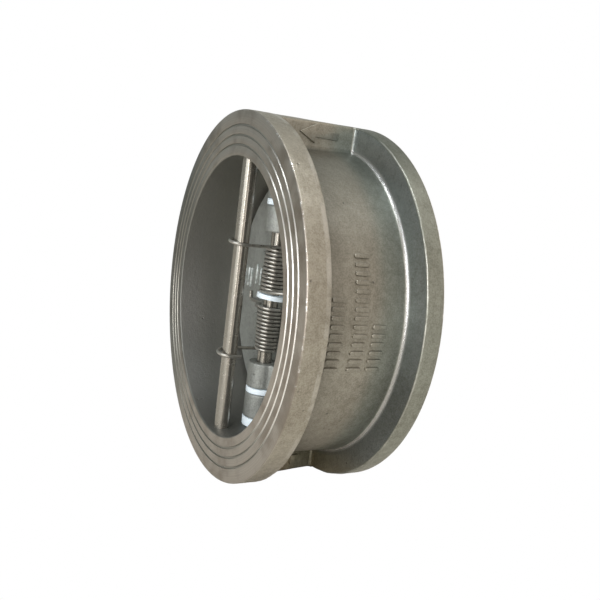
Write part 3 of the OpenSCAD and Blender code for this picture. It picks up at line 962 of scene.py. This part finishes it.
def springs(material):
    """Both torsion springs. A coil twists between its hook and its leg, which rides on a plate."""
    turned_over = Matrix.Translation((0, 0, -SHIFT_UP)) @ Matrix.Rotation(math.pi, 4, "Y")
    for node, door, place in (("lower_spring", "left_door", Matrix.Identity(4)),
                              ("upper_spring", "right_door", turned_over)):
        coil = tube(node + "_coil", coil_path(), WIRE_R)
        leg = tube(node + "_leg", leg_path(), WIRE_R)
        for piece in (coil, leg):
            piece.data.transform(place)
        dress(leg, material, door)
        coil.data.materials.append(material)
        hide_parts(node)
        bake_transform(coil)


# ---------------------------------------------------------------- stage

def camera_only_white(tree, surface, output):
    """Shows plain white to the camera in place of surface, which still lights the part."""
    white = tree.nodes.new("ShaderNodeEmission")
    path = tree.nodes.new("ShaderNodeLightPath")
    pick = tree.nodes.new("ShaderNodeMixShader")
    tree.links.new(path.outputs["Is Camera Ray"], pick.inputs[0])
    tree.links.new(surface, pick.inputs[1])
    tree.links.new(white.outputs[0], pick.inputs[2])
    tree.links.new(pick.outputs[0], output.inputs["Surface"])


def studio_world():
    """A soft room round the part, bright and warm on one side, dim and cool on the other."""
    world = bpy.data.worlds.new("studio")
    world.use_nodes = True
    tree = world.node_tree
    room = tree.nodes["Background"]
    coords = tree.nodes.new("ShaderNodeTexCoord")
    side = tree.nodes.new("ShaderNodeVectorMath")
    side.operation = "DOT_PRODUCT"
    side.inputs[1].default_value = WARM_SIDE
    tree.links.new(coords.outputs["Generated"], side.inputs[0])
    across = tree.nodes.new("ShaderNodeMapRange")
    across.interpolation_type = "SMOOTHSTEP"
    across.inputs["From Min"].default_value = -0.9
    across.inputs["From Max"].default_value = 0.9
    tree.links.new(side.outputs["Value"], across.inputs["Value"])
    tint = tree.nodes.new("ShaderNodeMix")
    tint.data_type = "RGBA"
    tree.links.new(across.outputs["Result"], tint.inputs["Factor"])
    tint.inputs[6].default_value = ROOM_COOL
    tint.inputs[7].default_value = ROOM_WARM
    tree.links.new(tint.outputs[2], room.inputs["Color"])
    camera_only_white(tree, room.outputs[0], tree.nodes["World Output"])
    bpy.context.scene.world = world


def area_light(name, place, size, energy, colour):
    """A rectangular light that faces the part."""
    light = bpy.data.lights.new(name, "AREA")
    light.shape = "RECTANGLE"
    light.size, light.size_y = size
    light.energy = energy
    light.color = colour
    obj = bpy.data.objects.new(name, light)
    obj.location = place
    obj.rotation_euler = (-Vector(place)).to_track_quat("-Z", "Y").to_euler()
    bpy.context.scene.collection.objects.link(obj)


def stage():
    """Pale floor, room and lights."""
    scene = bpy.context.scene
    floor_z = BODY_LOW.z - 0.2 * MM
    mesh = bpy.data.meshes.new("floor")
    half = FLOOR_HALF
    corners = [(-half, -half), (half, -half), (half, half), (-half, half)]
    mesh.from_pydata([(x, y, floor_z) for x, y in corners], [], [(0, 1, 2, 3)])
    floor = bpy.data.objects.new("floor", mesh)
    scene.collection.objects.link(floor)
    s = Shader("pale_floor")
    tone = s.mix(s.noise(3, 2), FLOOR_TONE, [1.04 * c for c in FLOOR_TONE])
    mesh.materials.append(s.finish(tone, 0.9, metallic=0.0))
    camera_only_white(s.tree, s.bsdf.outputs[0], s.nodes["Material Output"])
    studio_world()
    scene.view_settings.view_transform = "Standard"
    for light in LIGHTS:
        area_light(*light)


def camera():
    """Camera at the viewing angle of the picture."""
    forward = Vector(CAMERA_FORWARD).normalized()
    right = forward.cross(Vector(CAMERA_UP)).normalized()
    up = right.cross(forward)
    data = bpy.data.cameras.new("camera")
    data.lens = CAMERA_LENS
    data.sensor_width = 36
    data.clip_start = 0.01
    obj = bpy.data.objects.new("camera", data)
    rotation = Matrix((right, up, -forward)).transposed()
    obj.matrix_world = Matrix.Translation(CAMERA_PLACE) @ rotation.to_4x4()
    bpy.context.scene.collection.objects.link(obj)
    bpy.context.scene.camera = obj


# ---------------------------------------------------------------- build

def repaint(node, material):
    """Gives a CAD piece that is shown as it is another material."""
    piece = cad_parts[node]
    piece.data.materials.clear()
    piece.data.materials.append(material)
    return piece


camera()
stage()
body_material = cast_body_material()
plate_material = cast_plate_material()
pin_material = ground_pin_material()
white_material = ptfe_material()
build_casting(body_material)
flow_arrow(body_material)
boss_pad(body_material)
waist_marks(body_material)
for side in ("left", "right"):
    plate = cast_copy(side + "_plate", side + "_plate_casting", 0.6 * MM, 5)
    clear_pin_hole(plate)
    dress(plate, plate_material, side + "_door")
plate_marks()
pin_piece("hinge_pin_bar", "hinge_pin", pin_material)
pin_piece("stop_pin_bar", "stop_pin", pin_material)
for node in ("top_end_bush", "upper_lug_washer", "lower_lug_washer", "bottom_end_bush"):
    washer_piece(node, white_material)
washer_piece("spring_washer", white_material, tilt=math.radians(-5))
springs(wire_material())
repaint("seat_seal", rubber_material())
plug_steel = plug_material()
for node in ("top_hinge_plug", "bottom_hinge_plug", "top_stop_plug", "bottom_stop_plug"):
    plug = repaint(node, plug_steel)
    bevel = plug.modifiers.new("edges", "BEVEL")
    bevel.width = 0.25 * MM
    bevel.segments = 2
    bevel.limit_method = "ANGLE"
